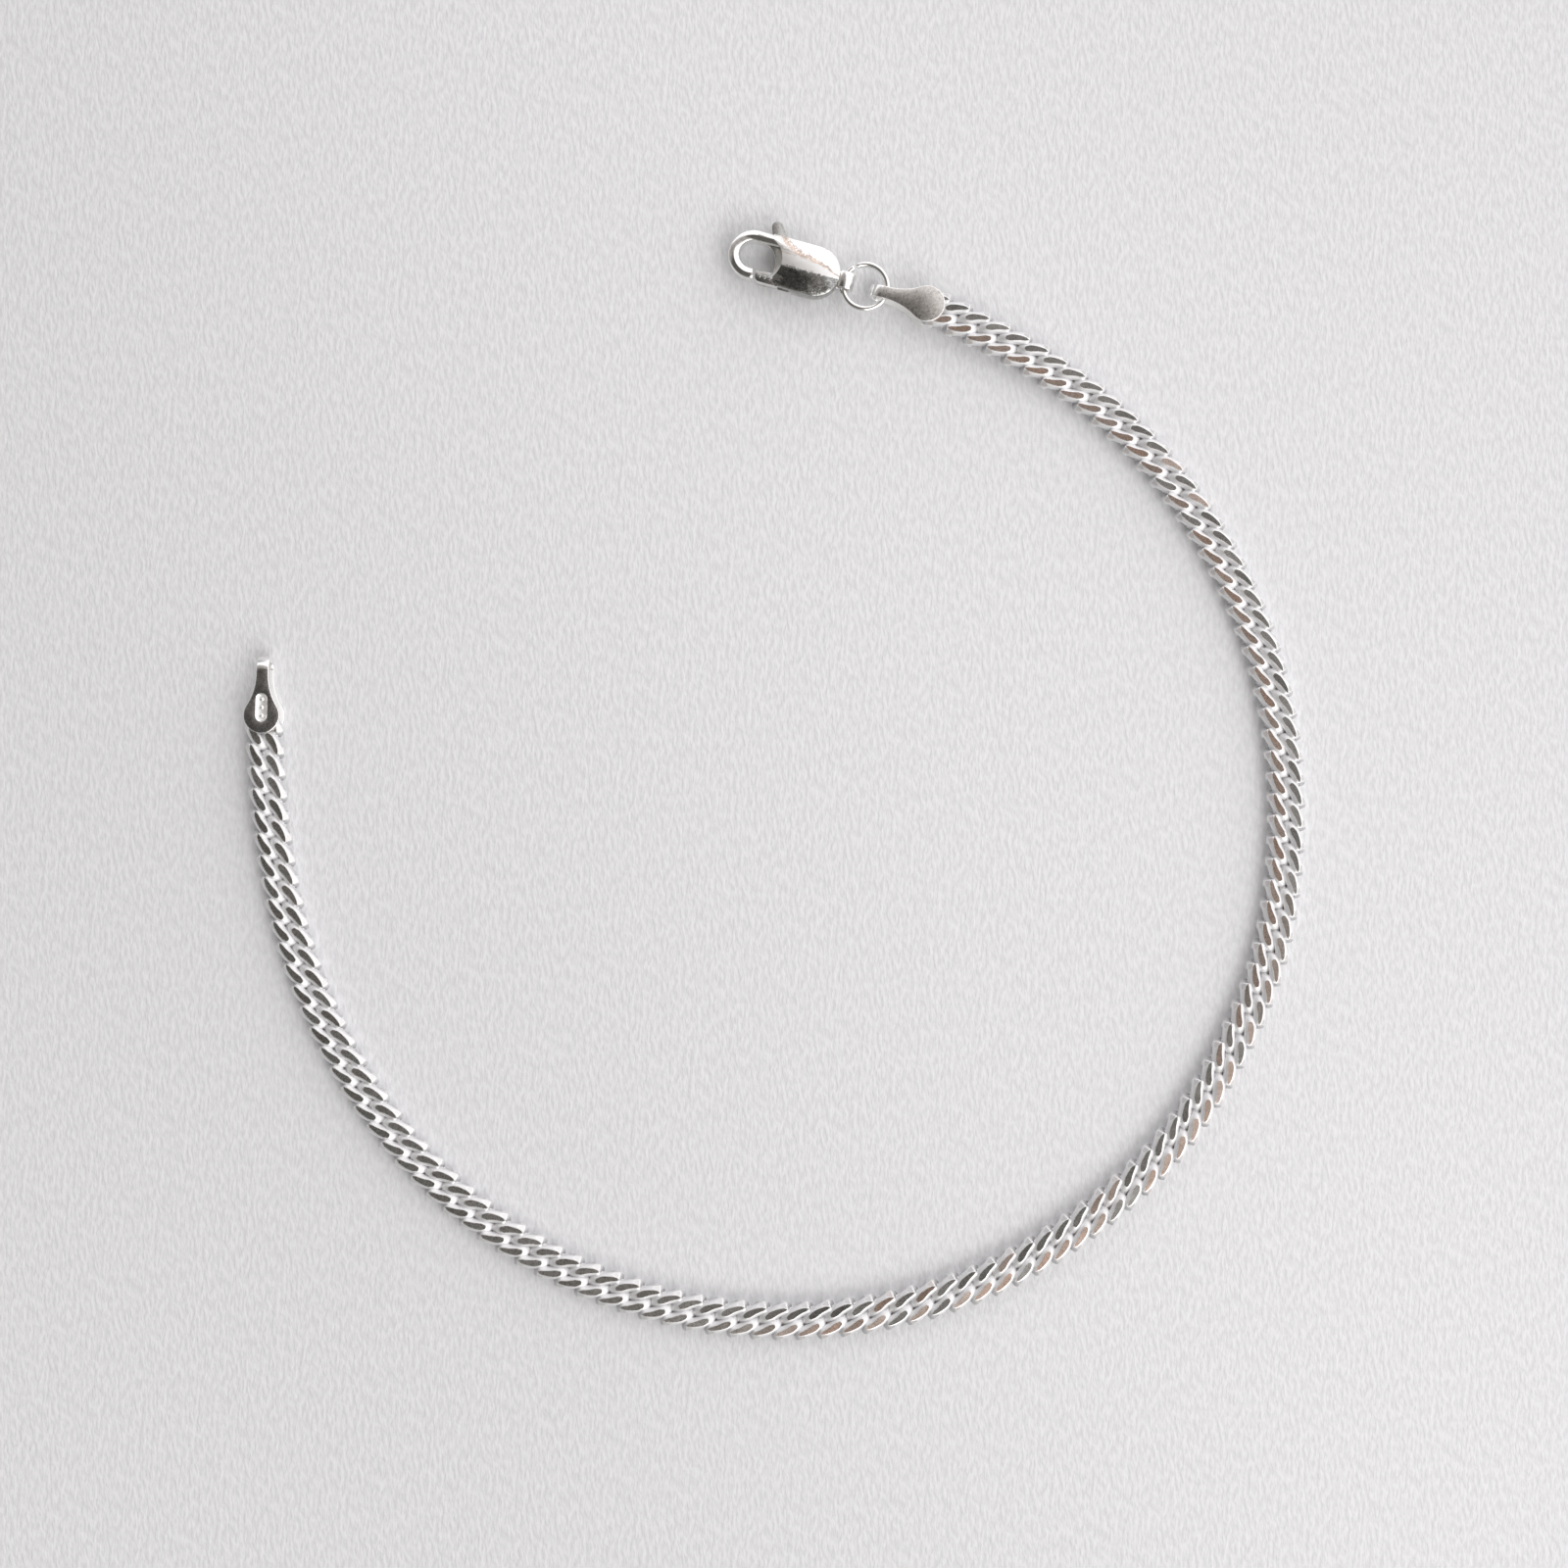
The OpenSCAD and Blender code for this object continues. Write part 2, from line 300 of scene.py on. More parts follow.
@dataclass(frozen=True)
class SilverFinish:
    """Silver with bright round parts and grained flats in painted reflection tones. Colours are
    linear.
    """

    name: str
    bright: Colour = (0.93, 0.925, 0.915)
    # Colour of the painted highlight on the narrow rims, softened edges and recess wall.
    rim: Colour = (1.0, 0.995, 0.99)
    # The flats' tones are painted reflections: dark and light grey, warm brown and dim stand in
    # for what the flats mirror.
    flat_dark_reflection: Colour = (0.48, 0.46, 0.43)
    flat_light_reflection: Colour = (0.66, 0.65, 0.63)
    flat_warm_reflection: Colour = (0.49, 0.355, 0.29)
    flat_dim_reflection: Colour = (0.2, 0.195, 0.185)
    swap_over: float = 0.85
    bright_rough: float = 0.16
    flat_rough: float = 0.24
    frost_rough: float = 0.55
    speckle_rough: float = 0.08
    grain_size: float = 0.07
    grain_contrast: float = 0.5
    grain_share: float = 0.35
    grain_depth: float = 0.004
    round_grain: float = 0.3
    spark_share: float = 0.35
    wave_size: float = 1.3
    wave_depth: float = 0.02
    least_lit: float = 0.97
    patch_share: float = 0.06
    # A cast body can carry painted reflections: a dark side and a thin warm line, with their edges
    # and span.
    banded: bool = False
    ragged: float = 0.3
    dark_reflection_edge: Span = (0.04, -0.04)
    line_start: Span = (0.76, 0.86)
    line_end: Span = (1.22, 1.12)

    def material(self, effects: SharedEffects) -> Material:
        """Builds the material.

        Args:
            effects: the shared shader groups.

        Returns:
            The finished material.
        """
        made, shader = new_material(self.name)
        graph = SilverGraph(made.node_tree, self, effects)
        graph.feed(shader, {"Metallic": 1.0, "Base Color": graph.colour(),
                            "Roughness": graph.roughness(), "Normal": graph.relief()})
        return made


class SilverGraph(Graph):
    """Builds the nodes of one silver finish."""

    def __init__(self, tree: Tree, finish: SilverFinish, effects: SharedEffects) -> None:
        """Adds the shared groups to the tree.

        Args:
            tree: the material's tree.
            finish: the finish to build.
            effects: the shared shader groups.
        """
        super().__init__(tree)
        self.finish = finish
        self.marks = self.add("ShaderNodeGroup", node_tree=effects.marks).outputs
        sizes = {"Size": finish.grain_size, "Contrast": finish.grain_contrast}
        self.grain = self.add("ShaderNodeGroup", sizes, node_tree=effects.grain).outputs
        self.waves = self.add("ShaderNodeGroup", {"Size": finish.wave_size},
                              node_tree=effects.waviness).outputs

    def speckle(self, share: float) -> Socket:
        """Gives the speckle of the grain about 0, times a share."""
        return self.times(self.minus(self.grain["Speckle"], 0.5), share)

    def flat_tone(self) -> Socket:
        """Builds the flats' painted reflection tone, which changes along the chain and from row to
        row.

        Returns:
            The colour before the grain.
        """
        finish, marks = self.finish, self.marks
        tone = self.mix_colour(marks["Shade"], rgba(finish.flat_dark_reflection), rgba(finish.flat_light_reflection))
        # Further along, one row takes the painted warm reflection and the other the painted dim
        # one. The rows swap at the turn, and for links whose shade is over swap_over.
        browner = self.mix_value(marks["Turned"], self.inverse(marks["Row"]), marks["Row"])
        swapped = self.math("GREATER_THAN", marks["Shade"], finish.swap_over)
        browner = self.mix_value(swapped, browner, self.inverse(browner))
        far_tone = self.mix_colour(browner, rgba(finish.flat_dim_reflection), rgba(finish.flat_warm_reflection))
        return self.mix_colour(marks["Warmth"], tone, far_tone)

    def bands(self) -> tuple[Socket, Socket]:
        """Builds the masks of a cast body's painted dark reflection side and of its thin painted
        warm reflection line.

        Returns:
            Both masks, from 0 to 1.
        """
        finish = self.finish
        at = self.plus(self.marks["Band"], self.speckle(finish.ragged))
        line = self.times(self.ramp(at, finish.line_start), self.ramp(at, finish.line_end))
        return self.ramp(at, finish.dark_reflection_edge), line

    def colour(self) -> Socket:
        """Builds the base colour from the flats' painted reflection tones, the grain, painted
        glints and the painted highlight on the rims.

        Returns:
            The colour.
        """
        finish, marks = self.finish, self.marks
        lit = self.plus(self.plus(self.speckle(finish.grain_share), finish.least_lit),
                        self.times(self.waves["Patch"], finish.patch_share))
        grained = self.shaded(self.flat_tone(), lit)
        level = self.times(marks["Flat"], self.inverse(marks["Rim"]))
        level = self.times(level, self.inverse(marks["Frost"]))
        # Paints the cast body's dark reflection side and warm reflection line.
        if finish.banded:
            for tone, band in zip((finish.flat_dim_reflection, finish.flat_warm_reflection), self.bands()):
                grained = self.mix_colour(band, grained, self.shaded(rgba(tone), lit))
                level = self.math("MAXIMUM", level, band)
        # Sparks in the grain take painted glints, as white as the rim highlight.
        spark = self.times(self.grain["Spark"], finish.spark_share)
        grained = self.mix_colour(spark, grained, rgba(finish.rim))
        # The rims take a painted highlight, whiter than the silver.
        bright = self.mix_colour(marks["Rim"], rgba(finish.bright), rgba(finish.rim))
        return self.mix_colour(level, bright, grained)

    def roughness(self) -> Socket:
        """Builds the roughness: low on round wire, higher on flats, highest where frosted.

        Returns:
            The roughness.
        """
        finish, marks = self.finish, self.marks
        base = self.mix_value(marks["Flat"], finish.bright_rough, finish.flat_rough)
        base = self.mix_value(marks["Frost"], base, finish.frost_rough)
        return self.plus(base, self.times(self.grain["Speckle"], finish.speckle_rough))

    def relief(self) -> Socket:
        """Builds the normal from the slow waves and the grain, which is faint on round wire.

        Returns:
            The normal.
        """
        finish = self.finish
        slow = self.bump(finish.wave_depth, self.waves["Height"], Strength=1.0)
        strength = self.mix_value(self.marks["Flat"], finish.round_grain, 1.0)
        return self.bump(finish.grain_depth, self.grain["Height"], Strength=strength, Normal=slow)


def part_way(value: float, low: float, high: float) -> float:
    """Gives how far a value is from low to high, held between 0 and 1."""
    return min(max((value - low) / (high - low), 0.0), 1.0)


def smooth(share: float) -> float:
    """Eases a share between 0 and 1 in and out."""
    return share * share * (3 - 2 * share)


def toward(degrees: float) -> Vector:
    """Gives the flat unit vector at an angle from +X."""
    return Vector((math.cos(math.radians(degrees)), math.sin(math.radians(degrees)), 0))


def turn(degrees: float) -> Matrix:
    """Gives a turn about +Z."""
    return Matrix.Rotation(math.radians(degrees), 4, "Z")


def parts_of(bm: BMesh) -> list[Corner | bmesh.types.BMEdge | Face]:
    """Gives every corner, edge and face of a mesh."""
    return bm.verts[:] + bm.edges[:] + bm.faces[:]


def layers(elements: object, *marks: Mark) -> list[bmesh.types.BMLayerItem]:
    """Gives the number layer of each mark on a mesh's corners or faces, new where it's missing."""
    found = elements.layers.float
    return [found.get(mark.value) or found.new(mark.value) for mark in marks]


def skin(bm: BMesh, rings: Sequence[Sequence[Corner]]) -> list[Face]:
    """Joins each ring of corners to the next and gives the new faces."""
    return [bm.faces.new((ring[j], ring[j - 1], after[j - 1], after[j]))
            for ring, after in zip(rings, rings[1:]) for j in range(len(ring))]


def soften(bm: BMesh, over: float, width: float) -> list[Face]:
    """Rounds the sharp edges of a mesh.

    Args:
        bm: the mesh.
        over: least turn between the faces of a sharp edge, in degrees.
        width: width of the rounding on each face.

    Returns:
        The faces of the rounding.
    """
    sharp = [e for e in bm.edges if e.calc_face_angle(0) > math.radians(over)]
    return bmesh.ops.bevel(bm, geom=sharp, offset=width, segments=2, profile=0.5,
                           affect="EDGES", clamp_overlap=True)["faces"]


def linked(name: str, data: bpy.types.ID) -> Object:
    """Makes an object in the scene.

    Args:
        name: name of the object.
        data: its mesh, light or camera.

    Returns:
        The linked object.
    """
    made = bpy.data.objects.new(name, data)
    bpy.context.scene.collection.objects.link(made)
    return made


def finished(bm: BMesh, name: str, place: Matrix | None = None) -> Object:
    """Turns millimetre mesh code into a finished object in metres at the origin.

    Args:
        bm: the mesh code, which is freed.
        name: name of the object.
        place: where the piece goes, in millimetres.

    Returns:
        The linked object, with smooth faces that point outwards.
    """
    bm.transform(Matrix.Scale(METRE, 4) @ (place or Matrix.Identity(4)))
    bmesh.ops.recalc_face_normals(bm, faces=bm.faces)
    mesh = bpy.data.meshes.new(name)
    bm.to_mesh(mesh)
    bm.free()
    mesh.shade_smooth()
    return linked(name, mesh)


def settle(piece: Object, material: Material, body: str, node: str) -> None:
    """Dresses a piece and fastens it to the frame.

    Args:
        piece: the finished piece.
        material: its finish.
        body: the body that it rides on.
        node: the CAD node that it stands for.
    """
    piece.data.materials.clear()
    piece.data.materials.append(material)
    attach(piece, body)
    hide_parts(node)
    log.info("%s: %d faces", piece.name, len(piece.data.polygons))


@dataclass
class Route:
    """The line that the links lie on, from the free end to the clasp end."""

    points: tuple[Span, ...] = (
        (-39.3, 4.5), (-38.9, -3.2), (-37.6, -11.0), (-34.9, -18.2), (-31.0, -25.0),
        (-25.9, -30.8), (-19.5, -35.6), (-12.6, -38.9), (-4.9, -40.9), (2.8, -41.2),
        (10.6, -40.0), (17.9, -37.3), (24.4, -33.1), (30.4, -27.8), (34.4, -21.3),
        (37.8, -14.2), (39.1, -6.4), (39.2, 1.3), (37.9, 9.1), (35.1, 16.2), (31.0, 23.0),
        (25.8, 28.7), (19.3, 33.2), (12.3, 36.5))
    shift: Span = (0.11, -0.31)
    steps: int = 12
    link_count: int = 107
    chain_t: float = 1.28
    tag_h: float = 2.04
    ramp_len: float = 9.0
    level_links: int = 2
    reach: float = 0.3
    flat_reach: float = 1.0
    knots: list[Vector] = field(init=False)
    line: list[Vector] = field(init=False)
    run: list[float] = field(init=False)

    def __post_init__(self) -> None:
        """Works out the line and the distance run at each of its points."""
        given = [Vector((*point, 0)) for point in self.points]
        # One control point more is mirrored beyond each end, so that the line starts on the first.
        self.knots = [2 * given[0] - given[1], *given, 2 * given[-1] - given[-2]]
        last = len(given) - 1
        self.line = [self.bend(i, k / self.steps) for i in range(last) for k in range(self.steps)]
        self.line.append(self.bend(last - 1, 1.0))
        self.run = [0.0]
        for before, after in zip(self.line, self.line[1:]):
            self.run.append(self.run[-1] + (after - before).length)

    def bend(self, i: int, t: float) -> Vector:
        """Gives a point of the cubic spline.

        Args:
            i: number of the span.
            t: place in the span, from 0 to 1.

        Returns:
            The point.
        """
        weights = ((1 - t) ** 3, 3 * t ** 3 - 6 * t * t + 4,
                   -3 * t ** 3 + 3 * t * t + 3 * t + 1, t ** 3)
        total = sum((w * self.knots[i + n] for n, w in enumerate(weights)), Vector())
        return total / 6 + Vector((*self.shift, 0))

    @property
    def length(self) -> float:
        """Length of the line."""
        return self.run[-1]

    @property
    def pitch(self) -> float:
        """Distance from one link to the next."""
        return self.length / (self.link_count - 1)

    def spot(self, s: float) -> Vector:
        """Gives the point at a distance along the line.

        Args:
            s: the distance, held at both ends.

        Returns:
            The point.
        """
        s = min(max(s, 0.0), self.length)
        i = min(max(1, sum(1 for d in self.run if d < s)), len(self.run) - 1)
        share = (s - self.run[i - 1]) / (self.run[i] - self.run[i - 1])
        return self.line[i - 1].lerp(self.line[i], share)

    def heading(self, s: float) -> float:
        """Gives the direction of the line in degrees."""
        d = self.spot(s + self.reach) - self.spot(s - self.reach)
        return math.degrees(math.atan2(d.y, d.x))

    def lift(self, s: float) -> float:
        """Gives how far the chain rises towards the tags, in full over its last links."""
        out = min(s, self.length - s) - self.level_links * self.pitch
        return (self.tag_h - self.chain_t) / 2 * (1 - smooth(part_way(out, 0.0, self.ramp_len)))

    def slope(self, s: float) -> float:
        """Gives the chain's rise as an angle in radians."""
        rise = self.lift(s + self.reach) - self.lift(s - self.reach)
        return math.atan2(rise, 2 * self.reach)

    def height(self, s: float) -> float:
        """Gives the height of the chain's middle."""
        return self.chain_t / 2 + self.lift(s) + self.flat_reach * math.sin(abs(self.slope(s)))


@dataclass
class CurbChain:
    """The filed curb chain, in two halves that interlock."""

    route: Route
    chain_w: float = 3.0
    bevel_w: float = 0.42
    # Shares of the flats' painted reflection tone that the bevels and the sides take.
    bevel_mark: float = 0.3
    side_mark: float = 0.2
    wire_half_w: float = 0.49
    wire_half_h: float = 0.42
    wire_power: float = 1.75
    reach_share: float = 0.82
    side_in: float = 0.5
    wave: float = 0.295
    wave_skew: float = 0.2
    wave_shift: float = 14.0
    wave_passes: int = 2
    lean: float = 0.75
    roof: float = 1.6
    nudge: float = 0.01
    path_steps: int = 44
    wire_steps: int = 16
    rim: float = 0.03
    rim_share: float = 0.06
    weld: float = 0.004
    on_plane: float = 0.01
    in_line: float = 0.999
    tilt: float = 1.1
    rock_share: float = 0.6
    seed: int = 7
    # Where along the chain the flats' painted reflection turns warm brown or dim, and where the
    # rows swap at the turn.
    warm_least: float = 0.6
    warm: Span = (58.0, 72.0)
    turned: Span = (108.0, 126.0)

    def core(self, a: float) -> Vector:
        """Gives the middle of the wire.

        Args:
            a: angle round the link, in radians.

        Returns:
            The point.
        """
        wave = math.sin(2 * a + math.radians(self.wave_shift))
        for _ in range(self.wave_passes):
            # Each pass makes the crests broader and leaves their height at 1.
            wave = 1.5 * wave - 0.5 * wave ** 3
        across = (self.chain_w / 2 - self.side_in) * math.sin(a)
        deep = self.wave * wave * (1 + self.wave_skew * math.cos(2 * a))
        along = self.reach_share * self.route.pitch * math.cos(a) - self.lean * across * wave
        return Vector((along, across, -deep))

    def squared(self, value: float) -> float:
        """Moves a coordinate of a circle, from -1 to 1, onto the wire's squarer section."""
        return math.copysign(abs(value) ** (2 / self.wire_power), value)

    def round_wire(self) -> BMesh:
        """Builds the twisted oval of round wire before it is filed.

        Returns:
            A closed tube round the oval.
        """
        bm = bmesh.new()
        angles = [-math.tau * j / self.wire_steps for j in range(self.wire_steps)]
        section = [(self.squared(math.cos(a)), self.squared(math.sin(a))) for a in angles]
        rings = []
        for i in range(self.path_steps):
            a = (i + 0.5) * math.tau / self.path_steps
            along = (self.core(a + self.nudge) - self.core(a - self.nudge)).normalized()
            up = (Vector((0, 0, 1)) - along.z * along).normalized()
            side = along.cross(up)
            rings.append([bm.verts.new(self.core(a) + self.wire_half_w * out * side
                                       + self.wire_half_h * rise * up) for out, rise in section])
        skin(bm, [*rings, rings[0]])
        return bm

    def planes(self) -> list[tuple[Vector, float, float]]:
        """Gives the filed planes.

        Returns:
            For each plane its outward direction, its distance from the middle and its flat mark.
        """
        half_t, ends = self.route.chain_t / 2, (-1, 1)
        slant = (self.chain_w / 2 + half_t - self.bevel_w) / math.sqrt(2)
        bevels = [(Vector((0, y, z)).normalized(), slant, self.bevel_mark)
                  for y in ends for z in ends]
        sides = [(Vector((0, y, 0)), self.chain_w / 2, self.side_mark) for y in ends]
        return bevels + sides + [(Vector((0, 0, z)), half_t, 1.0) for z in ends]

    def file_flat(self, bm: BMesh, across: Vector, out: float) -> None:
        """Files away what lies beyond a plane and closes the cuts.

        Args:
            bm: the link.
            across: the plane's outward direction.
            out: its distance from the middle.
        """
        bmesh.ops.bisect_plane(bm, geom=parts_of(bm), dist=self.weld, plane_co=across * out,
                               plane_no=across, clear_outer=True)
        bmesh.ops.holes_fill(bm, edges=[e for e in bm.edges if e.is_boundary], sides=0)

    def filed_link(self) -> Object:
        """Builds one link: round wire, filed flats and bevels, and a narrow rim round each.

        Returns:
            The link, lying along +X in metres.
        """
        bm = self.round_wire()
        for across, out, _ in self.planes():
            self.file_flat(bm, across, out)
        bmesh.ops.recalc_face_normals(bm, faces=bm.faces)
        flat, edge, row = layers(bm.faces, Mark.FLAT, Mark.RIM, Mark.ROW)
        for across, out, amount in self.planes():
            filed = [f for f in bm.faces if f.normal.dot(across) > self.in_line
                     and all(abs(v.co.dot(across) - out) < self.on_plane for v in f.verts)]
            for face in filed:
                face[flat] = amount
                width = min(self.rim, self.rim_share * math.sqrt(face.calc_area()))
                for narrow in bmesh.ops.inset_individual(bm, faces=[face], thickness=width,
                                                         use_even_offset=False)["faces"]:
                    narrow[flat] = amount
                    # The narrow rim takes a painted highlight.
                    narrow[edge] = 1.0
        # The row picks between the painted warm and the painted dim reflection.
        for face in bm.faces:
            face[row] = float(face.calc_center_median().y > 0)
        slope = math.tan(math.radians(self.roof)) / (self.route.chain_t / 2)
        for vert in bm.verts:
            vert.co.z *= 1 - slope * abs(vert.co.y)
        return finished(bm, "link_pattern")

    def route_line(self) -> Object:
        """Builds the route as a line that carries the chain's lean.

        Returns:
            An object of edges alone, in metres.
        """
        count = math.ceil(self.route.length / (2 * self.route.reach)) * 2
        runs = [self.route.length * i / count for i in range(count + 1)]
        spots = [(self.route.spot(s) + Vector((0, 0, self.route.height(s)))) * METRE for s in runs]
        mesh = bpy.data.meshes.new("route_line")
        mesh.from_pydata(spots, [(i, i + 1) for i in range(count)], [])
        lean = mesh.attributes.new("lean", "FLOAT", "POINT")
        lean.data.foreach_set("value", [self.route.slope(s) for s in runs])
        return linked("route_line", mesh)

    @staticmethod
    def random(graph: Graph, number: Socket, step: int, low: float) -> Socket:
        """Adds a random value for each link.

        Args:
            graph: the tree's graph.
            number: the link's number.
            step: added to the tree's seed, so that each use differs.
            low: lowest value. The highest is 1.

        Returns:
            The value.
        """
        seed = graph.plus(graph.add("NodeGroupInput").outputs["Seed"], step)
        inputs = {"Min": low, "Max": 1.0, "ID": number, "Seed": seed}
        return graph.out(graph.add("FunctionNodeRandomValue", inputs, data_type="FLOAT"), "Value")

    def marked(self, graph: Graph, points: Socket, number: Socket, distance: Socket) -> Socket:
        """Stores each link's shade, warmth and side of the turn on its point, which pick the
        painted reflection tone of its flats.

        Args:
            graph: the tree's graph.
            points: one point for each link.
            number: the link's number.
            distance: the link's distance along the line.

        Returns:
            The points with their marks.
        """
        given = graph.add("NodeGroupInput").outputs
        warm = graph.times(self.random(graph, number, 3, self.warm_least),
                           graph.ramp(distance, (given["Warm From"], given["Warm Full"])))
        turned = graph.ramp(distance, (given["Turned From"], given["Turned Full"]))
        shade = self.random(graph, number, 2, 0.0)
        for mark, value in ((Mark.SHADE, shade), (Mark.WARMTH, warm), (Mark.TURNED, turned)):
            points = graph.add("GeometryNodeStoreNamedAttribute",
                               {"Geometry": points, "Name": mark.value, "Value": value},
                               data_type="FLOAT", domain="POINT").outputs[0]
        return points

    def links_tree(self) -> Tree:
        """Builds the tree that sets links along a line.

        Returns:
            A geometry tree with named inputs for the link, its count, pitch, tilt and seed.
        """
        tree = bpy.data.node_groups.new("Links along a line", "GeometryNodeTree")
        kinds = {"Line": "Geometry", "Link": "Object", "First Link": "Int", "Link Count": "Int",
                 "Pitch": "Float", "Tilt": "Float", "Warm From": "Float", "Warm Full": "Float",
                 "Turned From": "Float", "Turned Full": "Float", "Seed": "Int",
                 "Finish": "Material"}
        for title, kind in kinds.items():
            tree.interface.new_socket(title, in_out="INPUT", socket_type="NodeSocket" + kind)
        tree.interface.new_socket("Chain", in_out="OUTPUT", socket_type="NodeSocketGeometry")
        graph = Graph(tree)
        given = graph.add("NodeGroupInput").outputs
        number = graph.plus(graph.add("GeometryNodeInputIndex").outputs[0], given["First Link"])
        distance = graph.times(number, given["Pitch"])
        curve = graph.add("GeometryNodeMeshToCurve", {"Mesh": given["Line"]})
        lean = graph.add("GeometryNodeInputNamedAttribute", {"Name": "lean"}, data_type="FLOAT")
        sample = graph.add("GeometryNodeSampleCurve",
                           {"Curves": curve.outputs[0], "Value": lean.outputs[0],
                            "Length": distance}, mode="LENGTH", data_type="FLOAT")
        points = graph.add("GeometryNodePoints", {"Count": given["Link Count"],
                                                  "Position": graph.out(sample, "Position")})
        tangent = graph.add("ShaderNodeSeparateXYZ", {0: graph.out(sample, "Tangent")}).outputs
        heading = graph.math("ARCTAN2", tangent["Y"], tangent["X"])
        roll = graph.times(self.random(graph, number, 0, -1.0), given["Tilt"])
        rock = graph.times(self.random(graph, number, 1, -1.0),
                           graph.times(given["Tilt"], self.rock_share))
        lean_back = graph.minus(rock, graph.out(sample, "Value"))
        angles = graph.add("ShaderNodeCombineXYZ", {0: roll, 1: lean_back, 2: heading})
        facing = graph.add("FunctionNodeEulerToRotation", {0: angles.outputs[0]})
        link = graph.add("GeometryNodeObjectInfo", {"Object": given["Link"]})
        placed = graph.add("GeometryNodeInstanceOnPoints",
                           {"Points": self.marked(graph, points.outputs[0], number, distance),
                            "Instance": link.outputs["Geometry"], "Rotation": facing.outputs[0]})
        real = graph.add("GeometryNodeRealizeInstances", {0: placed.outputs[0]})
        dressed = graph.add("GeometryNodeSetMaterial", {"Geometry": real.outputs[0],
                                                        "Material": given["Finish"]})
        graph.add("NodeGroupOutput", {0: dressed.outputs[0]})
        return tree

    def build(self, material: Material) -> None:
        """Builds, dresses and fastens both halves.

        Args:
            material: finish of the links.
        """
        link, line, tree = self.filed_link(), self.route_line(), self.links_tree()
        places = zip(("Pitch", "Warm From", "Warm Full", "Turned From", "Turned Full"),
                     (self.route.pitch, *self.warm, *self.turned))
        settings = {title: place * METRE for title, place in places}
        settings |= {"Link": link, "Tilt": math.radians(self.tilt), "Seed": self.seed,
                     "Finish": material}
        half = self.route.link_count // 2
        halves = {"chain_first_half": (0, half),
                  "chain_second_half": (half, self.route.link_count - half)}
        for node, (first, count) in halves.items():
            mesh = evaluated(line, tree, settings | {"First Link": first, "Link Count": count})
            mesh.name = "filed_" + node
            settle(linked(mesh.name, mesh), material, "bracelet", node)
        for spare in (link, line):
            bpy.data.objects.remove(spare)


def evaluated(host: Object, tree: Tree, settings: dict[str, object]) -> bpy.types.Mesh:
    """Runs a geometry tree on an object and gives the result as a plain mesh.

    Args:
        host: the object that the tree starts from.
        tree: the geometry tree.
        settings: value of each named input.

    Returns:
        The new mesh. The modifier is removed again.
    """
    modifier = host.modifiers.new("Tree", "NODES")
    modifier.node_group = tree
    for item in tree.interface.items_tree:
        if item.item_type == "SOCKET" and item.name in settings:
            modifier[item.identifier] = settings[item.name]
    host.update_tag()
    bpy.context.view_layer.update()
    graph = bpy.context.evaluated_depsgraph_get()
    mesh = bpy.data.meshes.new_from_object(host.evaluated_get(graph), depsgraph=graph)
    host.modifiers.remove(modifier)
    return mesh


